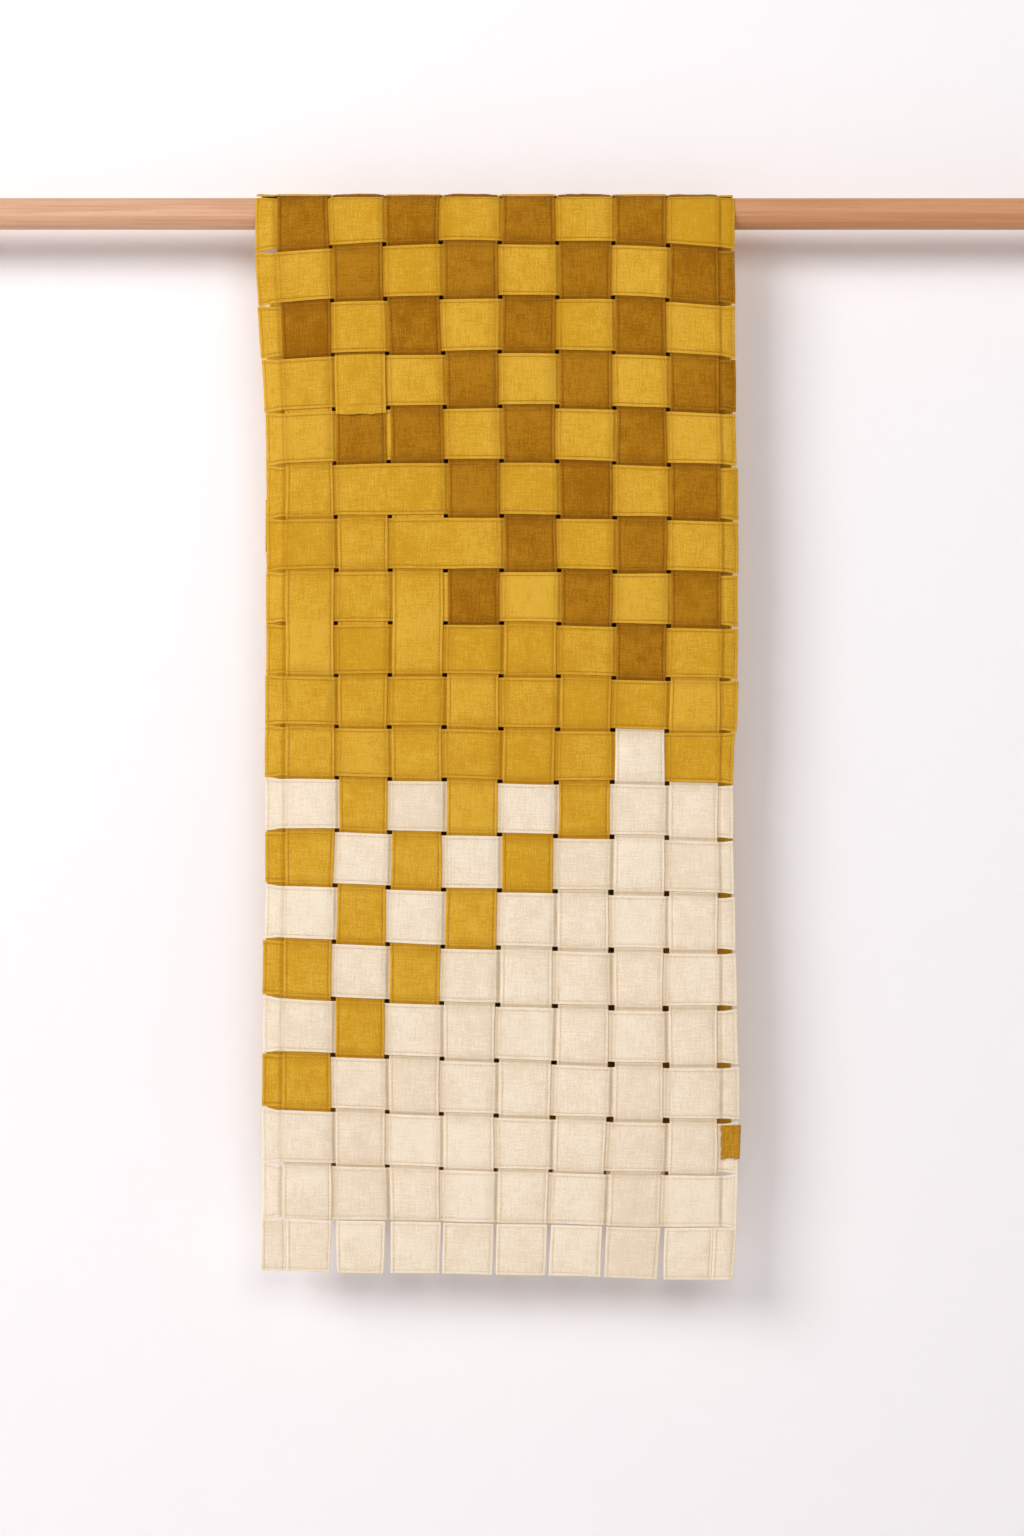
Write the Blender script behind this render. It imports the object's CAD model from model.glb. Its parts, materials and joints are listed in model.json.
# %% [markdown]
# # A woven linen wall hanging on a wooden rod
# Folded strips of linen cross over and under each other in a plain weave, and the cloth is draped
# double over a round rod. The frame gives every size; this script makes each strip again as real
# cloth, with folded edges, topstitching, hems and frayed ends, and gives the wood its grain.

# %% Load the frame
import json
import math

import bpy
import numpy as np
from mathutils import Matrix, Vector

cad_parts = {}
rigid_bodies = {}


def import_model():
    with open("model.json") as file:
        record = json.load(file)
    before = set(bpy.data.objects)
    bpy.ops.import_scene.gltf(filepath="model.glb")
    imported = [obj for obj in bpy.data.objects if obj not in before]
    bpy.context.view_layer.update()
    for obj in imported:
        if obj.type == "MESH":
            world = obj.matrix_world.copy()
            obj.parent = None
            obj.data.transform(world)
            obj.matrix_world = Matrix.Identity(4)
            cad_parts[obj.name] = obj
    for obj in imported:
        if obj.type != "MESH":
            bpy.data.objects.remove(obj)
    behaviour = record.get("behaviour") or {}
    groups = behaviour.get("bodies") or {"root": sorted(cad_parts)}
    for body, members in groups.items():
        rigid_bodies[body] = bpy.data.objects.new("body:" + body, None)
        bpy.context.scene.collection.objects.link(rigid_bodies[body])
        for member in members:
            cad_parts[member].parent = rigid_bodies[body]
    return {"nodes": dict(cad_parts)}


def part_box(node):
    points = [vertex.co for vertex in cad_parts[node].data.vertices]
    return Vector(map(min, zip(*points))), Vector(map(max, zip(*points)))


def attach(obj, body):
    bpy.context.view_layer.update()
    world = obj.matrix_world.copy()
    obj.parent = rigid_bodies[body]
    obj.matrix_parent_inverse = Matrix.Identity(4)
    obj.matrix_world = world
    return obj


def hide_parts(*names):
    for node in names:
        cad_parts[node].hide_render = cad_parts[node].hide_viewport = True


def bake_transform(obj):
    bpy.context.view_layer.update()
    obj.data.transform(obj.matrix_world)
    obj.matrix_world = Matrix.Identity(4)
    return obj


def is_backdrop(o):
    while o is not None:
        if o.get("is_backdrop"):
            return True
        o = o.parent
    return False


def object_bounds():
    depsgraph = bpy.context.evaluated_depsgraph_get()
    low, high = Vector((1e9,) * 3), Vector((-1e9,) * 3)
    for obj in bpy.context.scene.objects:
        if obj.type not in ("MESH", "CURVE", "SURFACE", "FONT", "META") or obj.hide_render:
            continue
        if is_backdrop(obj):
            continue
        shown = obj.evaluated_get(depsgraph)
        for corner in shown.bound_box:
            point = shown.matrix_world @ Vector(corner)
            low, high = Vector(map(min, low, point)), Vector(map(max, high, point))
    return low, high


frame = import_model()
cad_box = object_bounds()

MM = 0.001

# %% [markdown]
# ## Sizes that everything follows
# A hanging like this is a grid, so a few sizes say it all: how wide and thick a folded strip is,
# how far apart the warps and the rows lie, and how far the cloth stands off the rod's axis. They
# could be typed in, but read from the frame they can never disagree with it.

# %% Measure the cloth
side_low, side_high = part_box("tail_side_left")
weft_low, weft_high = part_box("weft_03")
above_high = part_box("weft_02")[1]
WARPS = 8
WARP_X = [sum(corner.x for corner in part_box(f"warp_{c}_cream")) / 2 for c in range(1, WARPS + 1)]
COLUMN = WARP_X[1] - WARP_X[0]
STRIP_T = side_high.y - side_low.y
STRIP_W = weft_high.z - weft_low.z
HALF_W = STRIP_W / 2
MID_R = -(side_high.y + side_low.y) / 2
LEVEL = (weft_high.y - weft_low.y - STRIP_T) / 2
ROW = above_high.z - weft_high.z
ROW_GAP = ROW - STRIP_W
FIRST_DROP = -above_high.z - ROW_GAP / 2
LEFT, RIGHT = weft_low.x, weft_high.x
OVER_ROD = math.pi * MID_R
FRONT_ROWS, BACK_ROWS = 20, 18
CENTRE_X = (WARP_X[0] + WARP_X[-1]) / 2
ROWS_START = WARP_X[0] - COLUMN / 2
print(f"strips {STRIP_W / MM:.1f} x {STRIP_T / MM:.1f} mm")
print(f"grid {COLUMN / MM:.1f} x {ROW / MM:.1f} mm")

# %% [markdown]
# ## Camera
# A wall hanging is looked at straight on. A long lens from across the room keeps the rows level and
# the edges parallel, which a wide lens from close by wouldn't.

# %% Camera
SEEN_HEIGHT = 1.244
EYE_DISTANCE = 1.95
EYE_X = 0.0101
EYE_Z = -0.452
camera_data = bpy.data.cameras.new("camera")
camera_data.lens = camera_data.sensor_width * (EYE_DISTANCE - MID_R) / SEEN_HEIGHT
camera = bpy.data.objects.new("camera", camera_data)
camera.location = (EYE_X, -EYE_DISTANCE, EYE_Z)
camera.rotation_euler = (math.pi / 2, 0, 0)
bpy.context.scene.collection.objects.link(camera)
bpy.context.scene.camera = camera
print(f"lens {camera_data.lens:.1f} mm")

# %% [markdown]
# ## Maths on sockets
# A pattern in Blender is a tree of small nodes. Placing each by hand hides the idea behind the wiring,
# so this small class wraps a socket, and ordinary Python sums on it add the Math nodes. Any other
# node comes from one method that sets the node's options first and then its sockets.


# %% A finish and its signals
class Signal:
    """A number, colour or vector that changes over a surface: an output socket of a finish."""

    def __init__(self, finish, socket):
        self.finish = finish
        self.socket = socket

    def math(self, operation, *others):
        """A Math node of this signal and the others."""
        values = dict(enumerate((self, *others)))
        return self.finish.node("ShaderNodeMath", {"operation": operation}, values)

    def __add__(self, other):
        return self.math("ADD", other)

    def __sub__(self, other):
        return self.math("SUBTRACT", other)

    def __rsub__(self, other):
        return (self * -1) + other

    def __mul__(self, other):
        return self.math("MULTIPLY", other)

    __radd__ = __add__

    def sine(self):
        return self.math("SINE")

    def size(self):
        return self.math("ABSOLUTE")

    def ramp(self, low, high):
        """0 below low, 1 above high, and a smooth rise between them."""
        values = {"Value": self, "From Min": low, "From Max": high}
        settings = {"interpolation_type": "SMOOTHSTEP"}
        return self.finish.node("ShaderNodeMapRange", settings, values)


class Finish:
    """A material whose nodes are made by calls."""

    def __init__(self, name, **constants):
        self.material = bpy.data.materials.new(name)
        self.material.use_nodes = True
        self.tree = self.material.node_tree
        self.tree.nodes.clear()
        self.shader = self.tree.nodes.new("ShaderNodeBsdfPrincipled")
        output = self.tree.nodes.new("ShaderNodeOutputMaterial")
        self.tree.links.new(self.shader.outputs[0], output.inputs["Surface"])
        self.feed(self.shader, {key.replace("_", " "): value for key, value in constants.items()})

    def feed(self, node, values):
        """Links each signal to its socket, and writes each plain value on its socket."""
        for key, value in values.items():
            if isinstance(key, int) or key in node.inputs:
                socket = node.inputs[key]
            else:
                socket = next(each for each in node.inputs if each.identifier == key)
            if isinstance(value, Signal):
                self.tree.links.new(value.socket, socket)
            else:
                socket.default_value = value

    def node(self, kind, settings=None, values=None, output=0):
        """A new node with its options set and its sockets fed, as the signal of one output."""
        made = self.tree.nodes.new(kind)
        for key, value in (settings or {}).items():
            setattr(made, key, value)
        self.feed(made, values or {})
        return Signal(self, made.outputs[output])

    def mix(self, amount, first, second):
        """The colour first where amount is 0 and second where it is 1."""
        values = {"Factor_Float": amount, "A_Color": first, "B_Color": second}
        return self.node("ShaderNodeMix", {"data_type": "RGBA"}, values, output=2)

    def noise(self, place, scale, detail=2.0, roughness=0.5):
        """Smooth noise from 0 to 1, with blotches about 1 / scale across."""
        values = {"Vector": place, "Scale": scale, "Detail": detail, "Roughness": roughness}
        return self.node("ShaderNodeTexNoise", None, values)

    def stretch(self, place, x, y, z):
        """The place multiplied by a factor along each axis."""
        settings = {"operation": "MULTIPLY"}
        return self.node("ShaderNodeVectorMath", settings, {0: place, 1: (x, y, z)})

    def attribute(self, name):
        """A number kept on the points of the mesh."""
        return self.node("ShaderNodeAttribute", {"attribute_name": name}, output=2)

    def bump(self, height, depth, strength=1.0):
        """Tilts the light as if the surface rose by depth where height is 1."""
        values = {"Height": height, "Distance": depth, "Strength": strength}
        self.feed(self.shader, {"Normal": self.node("ShaderNodeBump", None, values)})


def linear(red, green, blue):
    """A shader colour from the 0 to 255 steps that a colour picker shows, by the sRGB curve."""
    steps = np.array([red, green, blue]) / 255
    return (*np.where(steps > 0.04045, ((steps + 0.055) / 1.055) ** 2.4, steps / 12.92), 1.0)


def dimmed(colour, amount):
    """A colour with each channel multiplied by amount."""
    return (*(channel * amount for channel in colour[:3]), 1.0)


# %% [markdown]
# ## Linen
# Linen is a plain weave of uneven yarn: here and there a yarn swells into a slub, which shows as a
# short streak along it. The cloth could be painted as one flat colour with noise, but then it would
# look like paper. Here the pattern follows each strip's own map, laid out in real metres, with one
# yarn every 0.8 mm both ways and slubs along both directions. The folds are paler, where the edges
# rub. The cloth is deeper along each seam, where the thread pulls it in, and where a strip slopes down
# under its neighbour.


# %% Linen finish
YARN = 0.8
TONE_MIDDLE = 3.59


def linen(name, deep, dark, light, shade):
    """Linen between dark and light, and deep where it is shaded. Yarns are sine ridges, one way over
    the other by turns."""
    cloth = Finish(name, Sheen_Weight=0.04, Sheen_Roughness=0.5, Specular_IOR_Level=0.12)
    flat = cloth.node("ShaderNodeUVMap", {"uv_map": "weave"})
    millimetres = cloth.stretch(flat, 1 / MM, 1 / MM, 0)
    sway = cloth.noise(millimetres, 0.12, 1.0) - 0.5
    across = cloth.node("ShaderNodeSeparateXYZ", None, {0: millimetres}) + sway * 1.1
    along = cloth.node("ShaderNodeSeparateXYZ", None, {0: millimetres}, output=1) + sway * 0.9
    ends = (across * (math.pi / YARN)).sine()
    picks = (along * (math.pi / YARN)).sine()
    over = ends * picks * 0.5 + 0.5
    height = ends.size() * over + picks.size() * (1 - over)
    end_slubs = cloth.noise(cloth.stretch(millimetres, 0.8, 0.07, 0), 1.0, 2.0, 0.65)
    pick_slubs = cloth.noise(cloth.stretch(millimetres, 0.07, 0.8, 0), 1.0, 2.0, 0.65)
    grain = cloth.noise(millimetres, 0.8, 1.0)
    mottle = cloth.noise(millimetres, 0.06, 2.0, 0.6)
    slubs = end_slubs + pick_slubs
    tone = slubs * 2.0 + grain * 2.4 + mottle * 1.4 + height * 0.3 + cloth.attribute("tone")
    tone = tone - TONE_MIDDLE
    dyed = cloth.mix(tone, dark, light)
    rubbed = cloth.mix(cloth.attribute("fold") * 0.5, dyed, dimmed(light, 1.12))
    dipped = cloth.mix(cloth.attribute("dip") * 0.55, rubbed, deep)
    pulled = cloth.mix(cloth.attribute("seam") * shade, dipped, deep)
    cloth.feed(cloth.shader, {"Base Color": pulled, "Roughness": 0.95 - height * 0.1})
    cloth.bump(height * 0.5 + slubs * 0.9, 0.12 * MM, 0.8)
    return cloth.material


LINENS = {
    "ochre": linen("linen_ochre", linear(108, 62, 0), linear(147, 92, 0), linear(174, 120, 20), 0.5),
    "mustard": linen("linen_mustard", linear(156, 102, 4), linear(198, 146, 28), linear(217, 169, 56), 0.5),
    "cream": linen("linen_cream", linear(184, 156, 116), linear(228, 209, 182), linear(243, 228, 206), 0.3),
    "patch": linen("linen_patch", linear(128, 80, 4), linear(168, 114, 14), linear(196, 144, 44), 0.4),
}
print("linens:", ", ".join(LINENS))

# %% [markdown]
# ## Sewing thread
# The seams are sewn with thread dyed to match. A strand of two plies catches the light in tiny
# slanted bands, so a fine wave along the object's own coordinates tints it.


# %% Thread finish
def thread(name, colour):
    """Thread between 0.82 and 1.12 times its colour, as the plies turn."""
    cotton = Finish(name, Sheen_Weight=0.05, Specular_IOR_Level=0.2)
    place = cotton.node("ShaderNodeTexCoord", output=3)
    plies = cotton.noise(place, 1 / (0.8 * MM), 1.0)
    tinted = cotton.mix(plies.ramp(0.35, 0.65), dimmed(colour, 0.82), dimmed(colour, 1.12))
    cotton.feed(cotton.shader, {"Base Color": tinted, "Roughness": 0.6 + plies * 0.2})
    return cotton.material


THREADS = {
    "ochre": thread("thread_ochre", linear(122, 78, 8)),
    "mustard": thread("thread_mustard", linear(182, 128, 26)),
    "cream": thread("thread_cream", linear(222, 198, 162)),
}
print("threads:", ", ".join(THREADS))

# %% [markdown]
# ## Wood
# The rod is turned from pale, close-grained wood. Growth rings run the length of a rod as long
# streaks, because it is cut along the trunk, and short dark pores follow them. Stretching noise
# along the rod gives both. One end has more of the pinkish sapwood than the other, and the rod's own
# frame node already has the right shape.


# %% Wood finish
def turned_wood(name):
    """Noise stretched along the rod: broad bands, finer grain and short pores, paler at one end."""
    wood = Finish(name, Specular_IOR_Level=0.35, Coat_Weight=0.08, Coat_Roughness=0.4)
    place = wood.node("ShaderNodeTexCoord", output=3)
    bands = wood.noise(wood.stretch(place, 2.2, 95, 95), 1.0, 3.0, 0.6)
    grain = wood.noise(wood.stretch(place, 9, 520, 520), 1.0, 2.0, 0.6)
    pores = wood.noise(wood.stretch(place, 60, 1900, 1900), 1.0, 1.0).ramp(0.60, 0.72)
    sapwood = wood.node("ShaderNodeSeparateXYZ", None, {0: place}).ramp(0.25, -0.35)
    streaks = (bands * 0.9 + grain * 0.5).ramp(0.5, 0.95)
    heart = wood.mix(streaks, linear(190, 132, 88), linear(212, 156, 112))
    pale = wood.mix(streaks, linear(202, 150, 114), linear(228, 183, 150))
    body = wood.mix(sapwood, heart, pale)
    marked = wood.mix(pores * 0.3, body, linear(168, 112, 78))
    wood.feed(wood.shader, {"Base Color": marked, "Roughness": 0.42 + grain * 0.2})
    wood.bump(grain - pores * 0.6, 0.05 * MM, 0.5)
    return wood.material


rod = frame["nodes"]["rod"]
rod.data.materials.clear()
rod.data.materials.append(turned_wood("rod_wood"))
print("the rod wears", rod.data.materials[0].name)

# %% [markdown]
# ## How the cloth hangs
# Every point of the cloth has a flat address: x across, s along the draped length and d off the
# cloth's middle. s is 0 where the cloth leaves the rod at the front, negative down the front and
# positive over the rod and down the back. One function turns addresses into places, so strips that
# cross always meet. A cloth simulation is another way to drape cloth. The strips here are flat straps,
# so their hang is worked out directly instead, and it comes out the same every time.


# %% Drape, drift and noise
def step(at):
    """0 below 0, 1 above 1, and a smooth rise between them: 3a^2 - 2a^3."""
    at = np.clip(at, 0, 1)
    return at * at * (3 - 2 * at)


def bell(at, middle, width):
    """A hump of height 1 round middle: e to the minus ((at - middle) / width) squared."""
    return np.exp(-(((at - middle) / width) ** 2))


def wander(a, b, seed, size, waves=7):
    """A smooth random field about 1 strong: a sum of sine waves of about one size, any way round."""
    dice = np.random.default_rng(seed)
    total = 0
    for _ in range(waves):
        turn, phase = dice.uniform(0, 2 * math.pi, 2)
        rate = 2 * math.pi / (size * dice.uniform(0.6, 1.6))
        total = total + np.sin(rate * (a * math.cos(turn) + b * math.sin(turn)) + phase)
    return total * math.sqrt(2 / waves)


def row_line(row):
    """The draped length of the line below a row."""
    return -FIRST_DROP - (row - 1) * ROW


def row_middle(row):
    """The draped length of a row's middle."""
    return row_line(row) + ROW / 2


def row_number(s):
    """The row that a draped length is in, as a number that is whole on the line below the row."""
    return (-FIRST_DROP - s) / ROW + 1


def drift(x, s):
    """How far the hand-made weave has wandered off its even grid, as (across, along).

    Down the front each row is lifted, tilted and arched by amounts that change slowly from row to
    row, and the columns lean, spread and sway the same way. The back leaf hangs a little to the left.
    Amounts are in millimetres and places in rows, with side -1 at the left edge and 1 at the right.
    """
    row = row_number(s)
    side = (x - CENTRE_X) / (WARPS / 2 * COLUMN)
    lift = 7.6 * bell(row, 11.8, 3.4) - 2.0
    tilt = 1.3 - 0.36 * row + 2.8 * step((row - 16) / 4)
    arch = 6.0 * bell(row, 0, 7) - 1.8 * bell(row, 15.5, 2.5)
    lean = 2.7 * bell(row, 7, 4) - 1.5
    fan = (1.5 * (1 - step((row - 16) / 4)) + 2.0 * bell(row, 0, 3)) * np.sin(math.pi * side)
    sway = 5.5 * step((row - 12) / 9) * bell(side, 0.35, 0.5)
    edge = (2.2 - 5.0 * bell(row, 0, 2.2)) * bell(side, -1, 0.25)
    edge = edge - 3.4 * bell(row, 0.8, 2.4) * step((-side - 0.95) / 0.12)
    edge = edge + (3.0 * bell(row, 16.8, 1.8) - 2.0 * bell(row, 10.8, 1.2)) * step((side - 0.97) / 0.1)
    bulge = 2.6 * bell(row, 12, 2) * bell(side, -0.75, 0.4)
    bulge = bulge + 2.2 * bell(row, 16.8, 2.5) * bell(side, 0.65, 0.35)
    sag = 1.8 * bell(row, 13.5, 3) * bell(side, -1, 0.6)
    sag = sag - 1.3 * bell(row, 17.5, 2.5) * bell(side, 0.7, 0.5)
    front = step((OVER_ROD - s) / (OVER_ROD - 8 * MM))
    across = front * (lean + 1.2 * side + fan - sway + edge + bulge) - (1 - front) * 0.4
    along = step((20 * MM - s) / (50 * MM)) * (lift + tilt * side + arch * (1 - side**2) + sag)
    across = across + 0.3 * wander(x, s, 3, 110 * MM)
    along = along + 0.3 * wander(x, s, 4, 110 * MM)
    return across * MM, along * MM


def hang(x, s, d):
    """The place of a point of the cloth: straight down the front and the back, and round the rod
    between them, a circle of the middle radius plus d. The leaves bow out a little as they hang."""
    across, along = drift(x, s)
    x, s = x + across, s + along
    bow = wander(x, s, 5, 420 * MM) * step((-s - 40 * MM) / (300 * MM)) * 1.4 * MM
    bow = bow + wander(x, s, 6, 420 * MM) * step((s - OVER_ROD - 30 * MM) / (300 * MM)) * 1.4 * MM
    turn = np.clip(s / MID_R, 0, math.pi)
    out = MID_R + d + bow
    y = -out * np.cos(turn)
    z = out * np.sin(turn) + np.minimum(s, 0) - np.maximum(s - OVER_ROD, 0)
    return np.stack(np.broadcast_arrays(x, y, z), -1)


print(f"{OVER_ROD / MM:.1f} mm of each warp lies over the rod")

# %% [markdown]
# ## Over and under
# In a plain weave the crossings make a chessboard. The weaver slipped by one crossing in a small
# patch on the left, so that mustard lies beside mustard there. A strip's middle swings between one
# level and the other in the gap between its neighbours, and stays put at a crossing. Just before the
# gap it bends over the edge of the strip beneath, which shows as a crease.


# %% The weave
TURN_W = ROW_GAP + 1.4 * MM
CREASE_AT = 2.9 * MM


def warp_side(row, warp):
    """1 where the warp lies outside, -1 where it lies inside, and 0 in the loose tails."""
    slipped = (row >= 5) & (row <= 8) & (warp <= np.where(row <= 6, 2, 3))
    outside = ((row + warp) % 2 == 0) != slipped
    loose = (row >= FRONT_ROWS) | (row <= -BACK_ROWS)
    return np.where(loose, 0.0, np.where(outside, 1.0, -1.0))


def weft_side(row, warp):
    """The weft's side is the warp's turned round, and 0 in the ends past the outer warps."""
    return np.where((warp < 1) | (warp > WARPS), 0.0, -warp_side(row, warp))


def weaving(count_at, pitch, side_at):
    """A function that gives a strip's side along its run, its creases outside and inside, and where
    it slopes.

    count_at gives the crossing that a place is in, as a number that is whole on the line after it.
    """
    def at(run):
        count = count_at(run)
        line = np.round(count)
        off = (count - line) * pitch
        before, after = side_at(line), side_at(line + 1)
        turn = step(0.5 + off / TURN_W)
        change = np.minimum(np.abs(after - before) * 0.8, 1)
        crease = change * bell(np.abs(off), CREASE_AT, 0.5 * MM)
        near = np.where(off < 0, before, after)
        side = before * (1 - turn) + after * turn
        return side, crease * (near > 0.5), crease * (near < -0.5), change * 4 * turn * (1 - turn)
    return at


def always(side):
    """The weave of a strip that keeps to one side and has no creases."""
    return lambda run: (side + 0 * run, 0 * run, 0 * run, 0 * run)


# %% [markdown]
# ## A folded strip
# Each strip is a band of linen with its raw edges folded in to meet along the middle of the inside,
# pressed, and topstitched along both folds. Its section is a long thin oval, pinched at the two seams
# and filled out between them, with a groove inside where the raw edges meet. The section is carried
# along the strip, ring by ring, and the outside swells only where no other strip presses on it.

# %% Section of a strip
FOLD_R = 0.9 * MM
SEAM_IN = 2.6 * MM
SEAM_DEPTH = 0.26 * MM
SWELL = 0.55 * MM


class Section:
    """The closed outline of a folded strip: its outside from fold to fold, then its inside back.

    body is half the thickness, round at the folds and pinched at the seams, and swell is 1 in the
    middle and falls with the fourth power of the distance from it.
    """

    def __init__(self, half_width):
        near_fold = np.array([0, 0.15, 0.5, 1.1, 1.9, 2.6, 3.3, 4.6]) * MM
        beyond = near_fold[-1] + (half_width - near_fold[-1]) * np.array([0.2, 0.45, 0.72, 0.96, 1.0])
        inward = np.concatenate([near_fold, beyond])
        face = np.concatenate([inward - half_width, (half_width - inward[:-1])[::-1]])
        self.v = np.concatenate([face, face[-2:0:-1]])
        self.count = len(self.v)
        self.side = np.where(np.arange(self.count) < len(face), 1.0, -1.0)
        from_fold = half_width - np.abs(self.v)
        raw_edges = (self.side < 0) & (np.abs(self.v) < 0.01 * MM)
        self.seam = bell(from_fold, SEAM_IN, 0.55 * MM)
        self.round = np.sqrt(1 - (1 - np.minimum(from_fold / FOLD_R, 1)) ** 2)
        self.body = STRIP_T / 2 * self.round - SEAM_DEPTH * self.seam - 0.3 * MM * raw_edges
        self.swell = 1 - np.minimum(np.abs(self.v) / (half_width - SEAM_IN), 1) ** 4
        self.fold = bell(from_fold, 0, 0.9 * MM)
        steps = np.abs(np.diff(np.append(self.v, self.v[0])))
        self.round_length = np.concatenate([[0], np.cumsum(steps)])


FULL = Section(HALF_W)
print(f"{FULL.count} points round a strip, {FULL.round_length[-1] / MM:.0f} mm of cloth")

# %% [markdown]
# ## From a grid to a mesh
# A strip is a closed tube, so its grid wraps round, and its two ends are closed with a row of faces
# between the outside and the inside. The flat map runs round and along in metres, so the yarns
# keep one size everywhere.


# %% Mesh helpers
def tube_faces(rings, stations):
    """Quads between rings i and i + 1 and stations j and j + 1, and the rows that close both ends.
    A face whose last two corners are the same is a triangle."""
    i, j = np.meshgrid(np.arange(rings - 1), np.arange(stations), indexing="ij")
    k = (j + 1) % stations
    here, there = i * stations, (i + 1) * stations
    quads = np.stack([here + j, here + k, there + k, there + j], -1)
    half = np.arange(1, stations // 2 - 1)
    far = stations // 2
    cap = np.stack([half, stations - half, stations - half - 1, half + 1], -1)
    tips = np.array([[0, stations - 1, 1, 1], [far, far - 1, far + 1, far + 1]])
    end = (rings - 1) * stations
    far_cap, far_tips = end + cap[:, ::-1], end + tips[:, [1, 0, 2, 2]]
    return quads.reshape(-1, 4), np.concatenate([cap, tips, far_cap, far_tips])


def add_mesh(name, points, faces, material, attributes=None, uv=None):
    """A mesh object at the origin, with numbers on its points and a flat map on its corners."""
    used = np.ones(faces.shape, bool)
    used[:, 3] = faces[:, 2] != faces[:, 3]
    corners = faces[used]
    mesh = bpy.data.meshes.new(name)
    mesh.vertices.add(points.size // 3)
    mesh.vertices.foreach_set("co", np.ascontiguousarray(points, np.float32).ravel())
    mesh.loops.add(len(corners))
    mesh.loops.foreach_set("vertex_index", corners.astype(np.int32))
    mesh.polygons.add(len(faces))
    mesh.polygons.foreach_set("loop_start", (np.cumsum(used.sum(1)) - used.sum(1)).astype(np.int32))
    mesh.update(calc_edges=True)
    mesh.materials.append(material)
    for key, values in (attributes or {}).items():
        layer = mesh.attributes.new(key, "FLOAT", "POINT")
        layer.data.foreach_set("value", np.ascontiguousarray(values, np.float32).ravel())
    if uv is not None:
        mesh.uv_layers.new(name="weave").data.foreach_set("uv", uv.astype(np.float32).ravel())
    mesh.shade_smooth()
    made = bpy.data.objects.new(name, mesh)
    bpy.context.scene.collection.objects.link(made)
    return made


def ring_places(start, end, lines):
    """Where a strip's rings go: close together at each line where it turns, 6 mm apart between."""
    near_line = np.array([-3.3, -2.9, -2.5, -1.6, -0.8, 0, 0.8, 1.6, 2.5, 2.9, 3.3]) * MM
    close = (lines[:, None] + near_line).ravel()
    even = np.linspace(start, end, max(3, round((end - start) / (6 * MM))))
    if len(close):
        even = even[np.abs(even[:, None] - close).min(1) > 1.8 * MM]
    ends = np.array([0, 0.15, 0.5, 1.1, 2.0, 2.6, 3.2]) * MM
    every = np.sort(np.concatenate([close, even, start + ends, end - ends]))
    every = every[(every >= start) & (every <= end)]
    return every[np.concatenate([[True], np.diff(every) > 0.1 * MM])]


# %% [markdown]
# ## Stitches
# Every seam is a row of stitches, each a short bead of thread that dips into the cloth at both
# ends. They could be a bump in the finish, but real beads catch the light at the groove's edge. One
# bead is a spindle with twelve corners, and a whole seam is made at once as an array of spindles.
# A raw edge frays into the same shape, only thinner and longer.

# %% Stitches and fibres
STITCH_PITCH = 2.9 * MM
STITCH_L = 2.3 * MM
STITCH_R = 0.24 * MM
BEAD_SIDES = 5
BEAD_POINTS = 2 * BEAD_SIDES + 2
seams = {}


def beads(start, middle, end, radius):
    """Spindles from start to end that bulge towards middle: two five-sided rings and two points."""
    axis = end - start
    up = middle - (start + end) / 2
    rise = np.linalg.norm(up, axis=1, keepdims=True)
    up = up / rise
    right = np.cross(axis / np.linalg.norm(axis, axis=1, keepdims=True), up)
    turn = np.arange(BEAD_SIDES) * 2 * math.pi / BEAD_SIDES
    ring = radius * (np.cos(turn)[:, None, None] * right + np.sin(turn)[:, None, None] * up)
    rings = [start + axis * share + up * rise * 0.9 + ring for share in (0.25, 0.75)]
    points = np.concatenate([start[None], *rings, end[None]]).transpose(1, 0, 2)
    j = np.arange(BEAD_SIDES)
    k = (j + 1) % BEAD_SIDES
    last = np.full(BEAD_SIDES, BEAD_POINTS - 1)
    near, far = 1, 1 + BEAD_SIDES
    faces = np.concatenate([
        np.stack([0 * j, near + k, near + j, near + j], -1),
        np.stack([near + j, near + k, far + k, far + j], -1),
        np.stack([last, far + j, far + k, far + k], -1),
    ])
    return points, (faces + BEAD_POINTS * np.arange(len(points))[:, None, None]).reshape(-1, 4)


def sew(reel, place, run, side, lift):
    """Beads along a seam whose points place(run, d) gives, on each face that isn't covered."""
    depth = STRIP_T / 2 - SEAM_DEPTH
    for facing in (1, -1):
        shown = run[side(run) * facing > -0.5]
        if len(shown):
            middle = side(shown) * LEVEL + lift(shown)
            start = place(shown - STITCH_L / 2, middle + facing * (depth - 0.08 * MM))
            top = place(shown, middle + facing * (depth + 0.14 * MM))
            end = place(shown + STITCH_L / 2, middle + facing * (depth - 0.08 * MM))
            seams.setdefault(reel, []).append(beads(start, top, end, STITCH_R))


def fray(reel, edge, outward, seed, longest):
    """Loose fibres from points on a raw edge: each leans its own way, up to longest long."""
    dice = np.random.default_rng(seed)
    start = np.repeat(edge, 3, axis=0) + dice.normal(0, 0.25 * MM, (3 * len(edge), 3))
    lean = dice.normal(0, 0.45, start.shape)
    end = start + (np.asarray(outward) + lean) * dice.uniform(0.3, 1.0, (len(start), 1)) * longest
    bend = (start + end) / 2 + dice.normal(0, 0.25 * MM, start.shape)
    seams.setdefault(reel, []).append(beads(start, bend, end, 0.09 * MM))


# %% [markdown]
# ## One strip, start to end
# A warp runs along s at its own x, and a weft runs along x at its own s. Both are the same strip, so
# one function makes them: it is told how to place a point, where the strip turns, and on which side
# it lies. Loose ends are folded in and sewn across; ends that hide under another strip are simply
# closed.


def level_run(run):
    """Nothing, all along a strip."""
    return 0 * run


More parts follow.
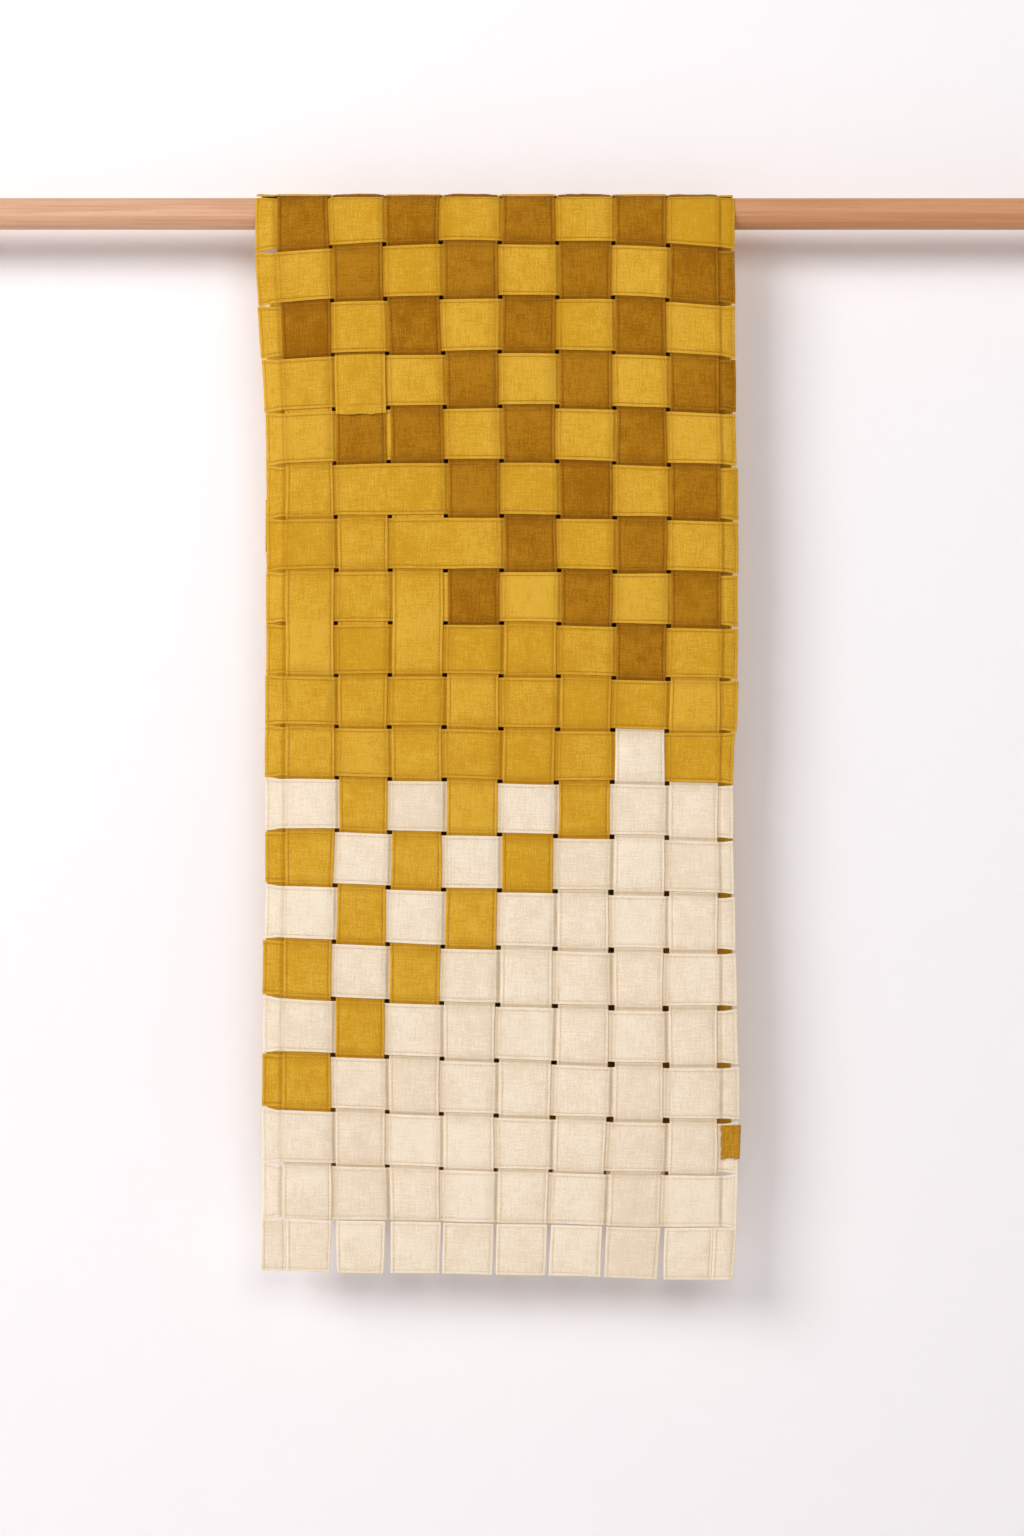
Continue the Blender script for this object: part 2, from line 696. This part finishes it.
def strip(name, colour, run, weave, to_cloth, seed, section=FULL, hems=(False, False),
          room_inside=None, wide=None, lift=level_run, laid_on=0.0, thin=1.0):
    """A folded strip. to_cloth(run, v) gives the flat address of a point v across the strip.

    A point's offset is the strip's side times the level, plus the section's half thickness, plus a
    swell that fades towards each crossing's ends, less creases where the strip isn't pressed. lift
    moves the whole strip outward, thin scales its thickness, and laid_on swells it over another strip.
    """
    dice = np.random.default_rng(seed)
    where, crease_out, crease_in, slope = weave(run)
    outside = np.maximum(where, 0) + 0.6 * (where == 0)
    inside = np.maximum(-where, 0) + 0.6 * (where == 0)
    if room_inside is not None:
        inside = inside * room_inside(run)
    to_end = np.ones(len(run))
    if hems[0]:
        to_end = np.minimum(to_end, run - run[0])
    if hems[1]:
        to_end = np.minimum(to_end, run[-1] - run)
    closing = np.sqrt(1 - (1 - np.minimum(to_end / FOLD_R, 1)) ** 2)
    hem_seam = 0.7 * bell(to_end, SEAM_IN, 0.45 * MM)
    shown = section.side > 0
    free = np.where(shown, outside[:, None], inside[:, None])
    bent = np.where(shown, crease_out[:, None], crease_in[:, None])
    width = (1 - 0.012 * (1 - closing)) * (1 + 0.006 * wander(run, 0 * run, seed, 60 * MM))
    if wide is not None:
        width = width * wide(run)
    v = section.v * width[:, None]
    at = run[:, None]
    wrinkle = 0.12 * wander(v * 2, at, seed + 1, 22 * MM) + 0.14 * wander(v, at, seed + 2, 60 * MM)
    plump = section.swell * np.minimum(to_end / (8 * MM), 1)[:, None]
    fullness = SWELL * (1 + 0.25 * wander(run, 0 * run, seed + 3, 90 * MM))[:, None] + wrinkle * 1.5 * MM
    body = section.body * closing[:, None] - SEAM_DEPTH * hem_seam[:, None] * section.round
    d = (where * LEVEL + lift(run))[:, None] + section.side * (thin * body + plump * free * fullness)
    d = d - section.side * 0.26 * MM * bent * section.round + laid_on * plump * SWELL
    points = hang(*to_cloth(at, v), d)
    quads, caps = tube_faces(len(run), section.count)
    patch = dice.uniform(0, 3, 2)
    round_length = section.round_length + patch[0]
    along = np.append(0, np.cumsum(np.diff(run))) + patch[1]
    i, j = np.meshgrid(np.arange(len(run) - 1), np.arange(section.count), indexing="ij")
    corners = [(i, j), (i, j + 1), (i + 1, j + 1), (i + 1, j)]
    uv = np.stack([np.stack([round_length[b], along[a]], -1) for a, b in corners], 2).reshape(-1, 2)
    cap_corners = np.concatenate([face[:3] if face[2] == face[3] else face for face in caps])
    cap_uv = np.stack([round_length[cap_corners % section.count], along[cap_corners // section.count]], -1)
    shape = (len(run), section.count)
    tone = dice.uniform(-0.2, 0.2) + 0.17 * wander(run, 0 * run, seed + 4, 120 * MM)
    seam = np.maximum(np.broadcast_to(section.seam, shape), hem_seam[:, None])
    attributes = {
        "fold": np.maximum(section.fold, bell(to_end, 0, 0.9 * MM)[:, None]),
        "seam": np.maximum(seam, 0.9 * bent * section.round),
        "dip": np.broadcast_to(slope[:, None], shape),
        "tone": np.broadcast_to(tone[:, None], shape),
    }
    made = add_mesh(name, points, np.concatenate([quads, caps]), LINENS[colour], attributes,
                    np.concatenate([uv, cap_uv]))
    return made


def sew_strip(reel, run, weave, to_cloth, lines, section=FULL, hems=(False, False), lift=level_run):
    """The stitches of a strip: along both folds, across each hem, and along each crease."""
    side = lambda at: weave(at)[0]
    half = -section.v[0]
    length = np.arange(run[0] + 3 * MM, run[-1] - 3 * MM, STITCH_PITCH)
    for v in (SEAM_IN - half, half - SEAM_IN):
        sew(reel, lambda at, d, v=v: hang(*to_cloth(at, v), d), length, side, lift)
    across = np.arange(4 * MM - half, half - 4 * MM, STITCH_PITCH)
    rows = [at for at, hem in ((run[0] + SEAM_IN, hems[0]), (run[-1] - SEAM_IN, hems[1])) if hem]
    for line in lines:
        for at in (line - CREASE_AT, line + CREASE_AT):
            if run[0] < at < run[-1] and sum(each[0] for each in weave(np.array([at]))[1:3]) > 0.5:
                rows.append(at)
    for at in rows:
        here = np.array([at])
        sew(reel, lambda v, d, at=at: hang(*to_cloth(at, v), d), across,
            lambda v, here=here: side(here)[0] + 0 * v, lambda v, here=here: lift(here)[0] + 0 * v)


# %% [markdown]
# ## Warps
# Eight warps run down the front, over the rod and down the back. Each is pieced from ochre, mustard
# and cream linen, all but the seventh, which has no mustard. The joins are hidden under a weft. Where
# a warp goes over the rod it is one length, cut only where a weft covers it, so each leaf can swing
# with its own end.

# %% Warps
SEAM_ROWS = [(4, 18), (6, 17), (6, 16), (9, 15), (8, 14), (9, 13), (10, 10), (9, 11)]
HEM = ROW_GAP / 2
ROW_LINES = row_line(np.arange(-BACK_ROWS, FRONT_ROWS + 1))


def lines_within(lines, start, end):
    """The lines that lie over 2 mm inside both ends."""
    return lines[(lines > start + 2 * MM) & (lines < end - 2 * MM)]


def off_rod(s):
    """0 where the cloth's inside lies on the rod, and 1 where it has room to swell."""
    return 1 - step((s + 8 * MM) / (6 * MM)) * step((OVER_ROD + 8 * MM - s) / (6 * MM))


def make_warp(name, colour, c, start, end, reel, nodes, hems=(False, False)):
    """Warp c from start to end. It is a little wider near the rod, where the weave is closer."""
    weave = weaving(row_number, ROW, lambda row: warp_side(row, c))
    slack = 0.035 * step((c - 4.5) / 2)

    def wide(s):
        near_rod = 0.02 * step(1 + s / (500 * MM)) * step(1 - s / (100 * MM))
        return 1 + near_rod - slack * step(row_number(s) / 3 - 4)
    to_cloth = lambda s, v: (WARP_X[c - 1] + v + 0 * s, s + 0 * v)
    run = ring_places(start, end, lines_within(ROW_LINES, start, end))
    made = strip(name, colour, run, weave, to_cloth, 100 * c + round(abs(start) * 1000), hems=hems,
                 room_inside=off_rod, wide=wide)
    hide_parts(*nodes)
    sew_strip(reel, run, weave, to_cloth, lines_within(ROW_LINES, start, end), hems=hems)
    return made


last_line = row_line(FRONT_ROWS - 1)
for c, (ochre_row, mustard_row) in enumerate(SEAM_ROWS, 1):
    odd = c % 2 == 1
    cut = row_middle(0 if odd else 1)
    crown = "crown_strips_odd" if odd else "crown_strips_even"
    behind = "back_warps_odd" if odd else "back_warps_even"
    front = make_warp(f"ochre_warp_{c}_front", "ochre", c, row_middle(ochre_row), cut, "ochre_front_warps",
                      [f"warp_{c}_ochre", crown])
    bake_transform(front)
    back = make_warp(f"ochre_warp_{c}_back", "ochre", c, cut, row_line(-BACK_ROWS - 1) - HEM,
                     "ochre_back_warps", [crown, behind], (False, True))
    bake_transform(back)
    if mustard_row > ochre_row:
        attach(make_warp(f"mustard_warp_{c}", "mustard", c, row_middle(mustard_row), row_middle(ochre_row),
                          "mustard_front", [f"warp_{c}_mustard"]), "front_leaf")
    foot = last_line + (0.5 * MM if odd else 2.4 * MM)
    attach(make_warp(f"cream_warp_{c}", "cream", c, foot, row_middle(mustard_row), "cream_front",
                      [f"warp_{c}_cream"], (odd, False)), "front_leaf")

# %% [markdown]
# ## Tails
# Below the last weft each warp ends in a loose square, hemmed on all four sides and joined edge to
# edge under the last row, so the weave can't slide off. The squares have shrunk unevenly, which shows
# in the gaps between them. A narrower piece fills the corner beside each outer square.

# %% Tails
TAIL_TOP = last_line - 0.3 * MM
TAIL_FOOT = row_line(FRONT_ROWS) + HEM
GAPS_TOP = np.array([3.3, 4.1, 1.6, 2.2, 2.9, 2.8, 3.0]) * MM
GAPS_FOOT = np.array([6.4, 5.5, 2.2, 2.8, 2.6, 3.2, 4.9]) * MM
CORNER_SEAMS = (WARP_X[0] - 17.5 * MM, WARP_X[-1] + 17.0 * MM)


def tail_edges(c, s):
    """The left and right edge of square c at s: half a gap from the line between two warps, and at
    the outer squares the seam to the corner piece."""
    down = (TAIL_TOP - s) / (TAIL_TOP - TAIL_FOOT)
    gaps = [top + (foot - top) * down for top, foot in zip(GAPS_TOP, GAPS_FOOT)]
    middle = ROWS_START + c * COLUMN - 0.9 * MM * down
    left = middle - COLUMN + gaps[c - 2] / 2 if c > 1 else CORNER_SEAMS[0] + 0.15 * MM - 0.4 * MM * down
    right = middle - gaps[c - 1] / 2 if c < WARPS else CORNER_SEAMS[1] - 0.15 * MM - 0.9 * MM * down
    return left, right


def corner_edges(c, s):
    """The edges of the corner piece beside square c: the seam, and the side of the hanging."""
    down = (TAIL_TOP - s) / (TAIL_TOP - TAIL_FOOT)
    left, right = tail_edges(c, s)
    if c == 1:
        return LEFT - 1.2 * MM * down, left - 0.25 * MM
    return right + 0.25 * MM, RIGHT - 2.4 * MM * down


def make_tail(name, c, edges, section, node, curl):
    """A hemmed square spread between its edges, whose foot curls out by curl millimetres."""
    half = -section.v[0]

    def to_cloth(s, v):
        left, right = edges(c, s)
        return left + (v / half + 1) / 2 * (right - left), s + 0 * v
    run = ring_places(TAIL_FOOT, TAIL_TOP, np.array([]))
    lift = lambda s: curl * MM * step((TAIL_TOP - s) / (TAIL_TOP - TAIL_FOOT)) ** 2
    weave = always(0.0)
    seed = 9000 + 10 * c + len(name)
    made = strip(name, "cream", run, weave, to_cloth, seed, section, (True, True), lift=lift)
    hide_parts(node)
    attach(made, "front_leaf")
    sew_strip("cream_front", run, weave, to_cloth, [], section, (True, True), lift)


CURLS = np.random.default_rng(31).uniform(-0.6, 1.6, WARPS + 2)
for c in range(1, WARPS + 1):
    make_tail(f"cream_tail_{c}", c, tail_edges, FULL, f"warp_{c}_cream", CURLS[c])
for c, node in ((1, "tail_side_left"), (WARPS, "tail_side_right")):
    corner_width = CORNER_SEAMS[0] - LEFT if c == 1 else RIGHT - CORNER_SEAMS[1]
    section = Section(corner_width / 2)
    make_tail(node.replace("tail_side", "corner_tail"), c, corner_edges, section, node, CURLS[c])
print(WARPS, "tails and 2 corner pieces")

# %% [markdown]
# ## Wefts
# The wefts run across, mustard above and cream below. Three cream rows have a mustard end and two
# mustard rows an ochre end, pieced like the warps. Past the outer warps nothing presses on a weft, so
# its ends spread a little, and no two are cut to quite the same length.

# %% Wefts
FIRST_CREAM = 12
OCHRE_ENDS, MUSTARD_ENDS = (2, 4), (13, 15, 17)
COLUMN_LINES = ROWS_START + np.arange(0, WARPS + 1) * COLUMN
SHORT_BACK_ENDS = {-1: 11.0, -2: 3.0}


def make_weft(name, colour, row, start, end, reel, nodes, body, hems):
    """The weft of a row from start to end. Its free ends are cut unevenly, flare and curl."""
    weave = weaving(lambda x: (x - ROWS_START) / COLUMN, COLUMN, lambda warp: weft_side(row, warp))
    middle = row_middle(row)
    dice = np.random.default_rng(row + 50)
    ragged = dice.uniform(-0.4, 1.0, 2) * MM
    flare = dice.uniform((0.06, 0.03), (0.09, 0.06)) + 0.02 * (row > 17)
    flare = flare * (0.3 if end < 0 else 1)
    bent_back = np.array([2.6 * bell(row, 7.5, 3.4) + 0.7, 2.2 * bell(row, 6, 3.6) + 0.5])
    curl = (dice.uniform(-0.4, 0.4, 2) - bent_back * (row > 0) + np.array([1.4, 0]) * (row == 0)) * MM
    start = start + (ragged[0] + SHORT_BACK_ENDS.get(row, 0) * MM) * hems[0]
    end = end - ragged[1] * hems[1]
    past_left = lambda x: step((WARP_X[0] - HALF_W - 5 * MM - x) / (8 * MM))
    past_right = lambda x: step((x - WARP_X[-1] - HALF_W - 4 * MM) / (9 * MM))
    slack = 0.03 * (13 <= row <= 18)
    flared = lambda x: flare[0] * past_left(x) + flare[1] * past_right(x)
    spread = lambda x: flared(x) - slack * step((x - 20 * MM) / (90 * MM))
    wide = lambda x: 1.008 + 0.03 * (row > 18) + spread(x)
    left_end = lambda x: np.clip((WARP_X[0] - HALF_W + MM - x) / (17 * MM), 0, 1.2) ** 1.4
    right_end = lambda x: np.clip((x - WARP_X[-1] - HALF_W + MM) / (15 * MM), 0, 1.2) ** 1.4
    lift = lambda x: curl[0] * left_end(x) + curl[1] * right_end(x)
    to_cloth = lambda x, v: (x + 0 * v, middle - v + 0 * x)
    lines = lines_within(COLUMN_LINES, start, end)
    run = ring_places(start, end, lines)
    made = strip(name, colour, run, weave, to_cloth, 7000 + 10 * row + round(start * 100), hems=hems,
                 room_inside=level_run if row in (0, 1) else None, wide=wide, lift=lift)
    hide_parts(*nodes)
    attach(made, body)
    sew_strip(reel, run, weave, to_cloth, lines, hems=hems, lift=lift)


for row, name, node in ((0, "mustard_weft_top", "top_weft"), (1, "mustard_weft_01", "weft_01")):
    make_weft(name, "mustard", row, LEFT, RIGHT, "mustard_top", [node], "top_roll", (True, True))
for row in range(2, FRONT_ROWS):
    colour = "mustard" if row < FIRST_CREAM else "cream"
    start = WARP_X[0] if row in MUSTARD_ENDS else LEFT
    end = WARP_X[-1] if row in OCHRE_ENDS else RIGHT
    make_weft(f"{colour}_weft_{row:02d}", colour, row, start, end, f"{colour}_front", [f"weft_{row:02d}"],
              "front_leaf", (row not in MUSTARD_ENDS, row not in OCHRE_ENDS))
for row in OCHRE_ENDS:
    make_weft(f"ochre_weft_end_{row:02d}", "ochre", row, WARP_X[-1], RIGHT, "ochre_front",
              [f"weft_{row:02d}_ochre_end"], "front_leaf", (False, True))
for row in MUSTARD_ENDS:
    make_weft(f"mustard_weft_end_{row:02d}", "mustard", row, LEFT, WARP_X[0], "mustard_front",
              [f"weft_{row:02d}_mustard_end"], "front_leaf", (True, False))
for row in range(1, BACK_ROWS):
    node = "back_wefts_odd" if row % 2 else "back_wefts_even"
    make_weft(f"back_weft_{row:02d}", "mustard", -row, LEFT, RIGHT, "mustard_back", [node], "back_leaf",
              (True, True))

# %% [markdown]
# ## A lapped end
# On the left one mustard strip end is lapped over the ochre warp for the length of a crossing, and its
# raw end reaches a little past it. It is the same strip as the others, thinner, and lifted onto its
# warp. Its foot is a raw edge, so loose fibres stick out of it.

# %% Lapped end
LAP_ROW, LAP_WARP = 4, 2
lap_foot = row_line(LAP_ROW) - 5 * MM
lap_head = row_line(LAP_ROW - 1) - 0.8 * MM
lap_weave = weaving(row_number, ROW, lambda row: warp_side(row, LAP_WARP))


def lap_cloth(s, v):
    """The lap lies on its warp, and its raw foot is uneven."""
    torn = 0.45 * MM * wander(v, 0 * v, 77, 9 * MM) * step((lap_foot + 2 * MM - s) / (2 * MM))
    return WARP_X[LAP_WARP - 1] + v * 1.012 + 0 * s, s + torn


def lap_side(s):
    """It follows its warp, and creases where the warp starts to bend inward."""
    crease = 0.8 * bell(s, row_line(LAP_ROW) + 2.4 * MM, 0.5 * MM)
    return lap_weave(s)[0], crease, 0 * s, 0.5 * lap_weave(s)[3]


def lap_lift(s):
    """The lap lies half a strip's thickness and 0.4 mm above its warp's middle."""
    return STRIP_T / 2 + 0.40 * MM + 0 * s


lap_run = ring_places(lap_foot, lap_head, np.array([row_line(LAP_ROW)]))
lap = strip("lapped_mustard_end", "mustard", lap_run, lap_side, lap_cloth, 555, lift=lap_lift,
            laid_on=1.0, thin=0.45)
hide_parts("lapped_end")
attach(lap, "front_leaf")
foot_v = np.linspace(-HALF_W + MM, HALF_W - MM, 46)
fray("mustard_front", hang(*lap_cloth(lap_foot + 0 * foot_v, foot_v), LEVEL + lap_lift(foot_v) + 0.3 * MM),
     (0, 0, -1), 78, 1.5 * MM)
print(f"lapped end {(lap_head - lap_foot) / MM:.0f} mm long")

# %% [markdown]
# ## A mend
# On the right edge a scrap of linen is folded round one weft's end. It is a single layer with raw edges
# and not a folded strip, so it is a sheet laid along a path: in over the front, round the end and back
# behind. Solidify gives the sheet its thickness.

# %% Mend
MEND_ROW = 18
MEND_T = 0.5 * MM
MEND_OFF = 1.9 * MM
MEND_COLUMNS = 22
mend_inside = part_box("edge_mend")[0].x - 1.2 * MM
mend_end = RIGHT - 0.6 * MM
mend_tall = 27 * MM
mend_head = row_middle(MEND_ROW) + HALF_W - 1.4 * MM


def mend_place(p, q, off):
    """A scrap folded round the weft's end: p runs along the front, round the end and along the back,
    and q down. Its free edges wave, and it leans a little."""
    front = mend_end - mend_inside
    bend = math.pi * off
    turn = np.clip((p - front) / bend, 0, 1) * math.pi
    past = np.maximum(p - front - bend, 0)
    free = np.exp(-p / (2 * MM)) + np.exp(-(2 * front + bend - p) / (2 * MM))
    x = mend_inside + np.minimum(p, front) + off * np.sin(turn) - past
    x = x + free * (0.35 * MM * wander(q, 0 * q, 91, 6 * MM) - 0.03 * q) - 0.035 * q
    s = mend_head - q - 0.3 * MM * wander(p, 0 * p, 92, 8 * MM) * (q > mend_tall / 2)
    return hang(x, s, off * np.cos(turn))


def make_mend():
    """The scrap as a grid of p and q, with frayed ends at its inner edge and its foot."""
    front = mend_end - mend_inside
    flat_part = np.linspace(0, front, MEND_COLUMNS)
    bend_part = front + math.pi * MEND_OFF * np.linspace(0.12, 0.88, 7)
    p = np.concatenate([flat_part, bend_part, front + math.pi * MEND_OFF + flat_part])
    q = np.linspace(0, mend_tall, 36)
    shape = (len(p), len(q))
    outer = mend_place(p[:, None], q[None, :], MEND_OFF)
    i, j = np.meshgrid(np.arange(len(p) - 1), np.arange(len(q) - 1), indexing="ij")
    corner = lambda a, b: ((i + a) * len(q) + j + b).ravel()
    faces = np.stack([corner(0, 0), corner(0, 1), corner(1, 1), corner(1, 0)], -1)
    uv = np.stack([p[faces.ravel() // len(q)] + 1.7, q[faces.ravel() % len(q)] + 0.4], -1)
    made = add_mesh("edge_mend_scrap", outer, faces, LINENS["patch"], {"tone": np.zeros(shape)}, uv)
    wall = made.modifiers.new("thickness", "SOLIDIFY")
    wall.thickness = MEND_T
    wall.offset = -1
    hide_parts("edge_mend")
    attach(made, "front_leaf")
    fray("cream_front", outer[0], (-1, 0, 0), 93, 1.0 * MM)
    fray("mustard_front", outer[:MEND_COLUMNS, -1], (0, 0, -1), 94, 0.7 * MM)


make_mend()
print(f"mend {mend_tall / MM:.0f} mm tall")

# %% [markdown]
# ## Seam threads
# There are tens of thousands of beads, too many to be objects of their own. All the beads of one
# colour on one leaf are joined into one piece, and swing with that leaf.

# %% Join the beads
REEL_BODIES = {
    "ochre_front_warps": ("ochre", "front"), "ochre_back_warps": ("ochre", "back"),
    "mustard_top": ("mustard", "top_roll"), "mustard_front": ("mustard", "front_leaf"),
    "cream_front": ("cream", "front_leaf"), "ochre_front": ("ochre", "front_leaf"),
    "mustard_back": ("mustard", "back_leaf"),
}
for reel, rows in seams.items():
    colour, body = REEL_BODIES[reel]
    counts = np.cumsum([0] + [points.size // 3 for points, _ in rows])
    points = np.concatenate([points.reshape(-1, 3) for points, _ in rows])
    faces = np.concatenate([faces + count for (_, faces), count in zip(rows, counts)])
    made = add_mesh(f"stitches_{reel}", points, faces, THREADS[colour])
    if body == "front":
        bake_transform(made)
    elif body == "back":
        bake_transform(made)
    else:
        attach(made, body)
    print(reel, len(points) // BEAD_POINTS, "stitches and fibres")

# %% [markdown]
# ## Room
# The hanging is shown close to a white wall. The wall is one-sided: from behind, and for the lamp at
# the back, it is clear, so that the back of the cloth can be seen.

# %% Room
WALL_Y = 0.047
FLOOR_Z = -1.28
ROOM_REACH = 6
WALL_TOP = 4


def plane(name, corners, material):
    """Four corners as one face of the room."""
    mesh = bpy.data.meshes.new(name)
    mesh.from_pydata(corners, [], [(0, 1, 2, 3)])
    mesh.materials.append(material)
    made = bpy.data.objects.new(name, mesh)
    bpy.context.scene.collection.objects.link(made)
    made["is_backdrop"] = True


def one_sided(paint):
    """Makes a finish clear from behind and for lamps, by mixing its shader with a clear one."""
    behind = paint.node("ShaderNodeNewGeometry", output=6)
    lamp_ray = paint.node("ShaderNodeLightPath", output=1)
    clear = paint.tree.nodes.new("ShaderNodeBsdfTransparent")
    blend = paint.tree.nodes.new("ShaderNodeMixShader")
    output = next(node for node in paint.tree.nodes if node.type == "OUTPUT_MATERIAL")
    paint.feed(blend, {0: behind.math("MAXIMUM", lamp_ray)})
    paint.tree.links.new(paint.shader.outputs[0], blend.inputs[1])
    paint.tree.links.new(clear.outputs[0], blend.inputs[2])
    paint.tree.links.new(blend.outputs[0], output.inputs["Surface"])


plaster = Finish("wall_paint", Roughness=0.95, Specular_IOR_Level=0.1)
plaster.feed(plaster.shader, {"Base Color": linear(248, 245, 247)})
one_sided(plaster)
left, right = -ROOM_REACH, ROOM_REACH
wall_foot = [(left, WALL_Y, FLOOR_Z), (right, WALL_Y, FLOOR_Z)]
wall_head = [(right, WALL_Y, WALL_TOP), (left, WALL_Y, WALL_TOP)]
plane("wall", wall_foot + wall_head, plaster.material)
boards = Finish("floor_paint", Roughness=0.9, Specular_IOR_Level=0.1)
boards.feed(boards.shader, {"Base Color": linear(226, 222, 220)})
near_edge = [(left, left, FLOOR_Z), (right, left, FLOOR_Z)]
far_edge = [(right, right, FLOOR_Z), (left, right, FLOOR_Z)]
plane("floor", near_edge + far_edge, boards.material)
print(f"wall {WALL_Y / MM:.0f} mm behind the rod's axis")

# %% [markdown]
# ## Light
# A large soft light from the upper left, like a window, gives each strip a lit and a shaded side. A
# weaker one from the front right fills the shade, and one behind the wall lights the back. The room
# itself glows dimly, but is shown paler where it is looked at directly, so that views from the side
# and from behind aren't dark.


# %% Lights
LIT_POINT = (0, 0, -0.45)
GLOW = 0.12


def softbox(name, place, width, height, power):
    """A rectangular lamp at a place, turned towards the middle of the hanging."""
    light = bpy.data.lights.new(name, "AREA")
    light.shape = "RECTANGLE"
    light.size = width
    light.size_y = height
    light.energy = power
    lamp = bpy.data.objects.new(name, light)
    lamp.location = place
    lamp.rotation_euler = (Vector(LIT_POINT) - Vector(place)).to_track_quat("-Z", "Y").to_euler()
    lamp.visible_camera = False
    bpy.context.scene.collection.objects.link(lamp)


softbox("window_light", (-2.5, -2.9, 1.4), 2.2, 1.8, 118)
softbox("fill_light", (0.6, -3.0, 0.9), 1.8, 1.4, 34)
softbox("back_light", (1.5, 2.6, 1.2), 2.5, 2.5, 55)
world = bpy.data.worlds.new("room")
bpy.context.scene.world = world
world.use_nodes = True
room = world.node_tree
dim = room.nodes["Background"]
dim.inputs["Color"].default_value = (1.0, 0.985, 0.99, 1)
dim.inputs["Strength"].default_value = GLOW
pale = room.nodes.new("ShaderNodeBackground")
pale.inputs["Color"].default_value = (0.90, 0.88, 0.885, 1)
seen = room.nodes.new("ShaderNodeMixShader")
path = room.nodes.new("ShaderNodeLightPath")
room.links.new(path.outputs["Is Camera Ray"], seen.inputs[0])
room.links.new(dim.outputs[0], seen.inputs[1])
room.links.new(pale.outputs[0], seen.inputs[2])
room.links.new(seen.outputs[0], room.nodes["World Output"].inputs["Surface"])
bpy.context.scene.view_settings.view_transform = "Standard"

# %% [markdown]
# ## Sheets and size
# Every strip is a sheet of cloth, so each says how wide and long it is when laid flat. The size of the
# frame and of the finished hanging are written side by side, to show how close they are.

boxes = {"cad": cad_box, "visual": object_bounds()}
{key: [list(corner) for corner in box] for key, box in boxes.items()}
total = sum(len(each.data.polygons) for each in bpy.context.scene.objects if each.type == "MESH")
print(f"{total} faces in all")
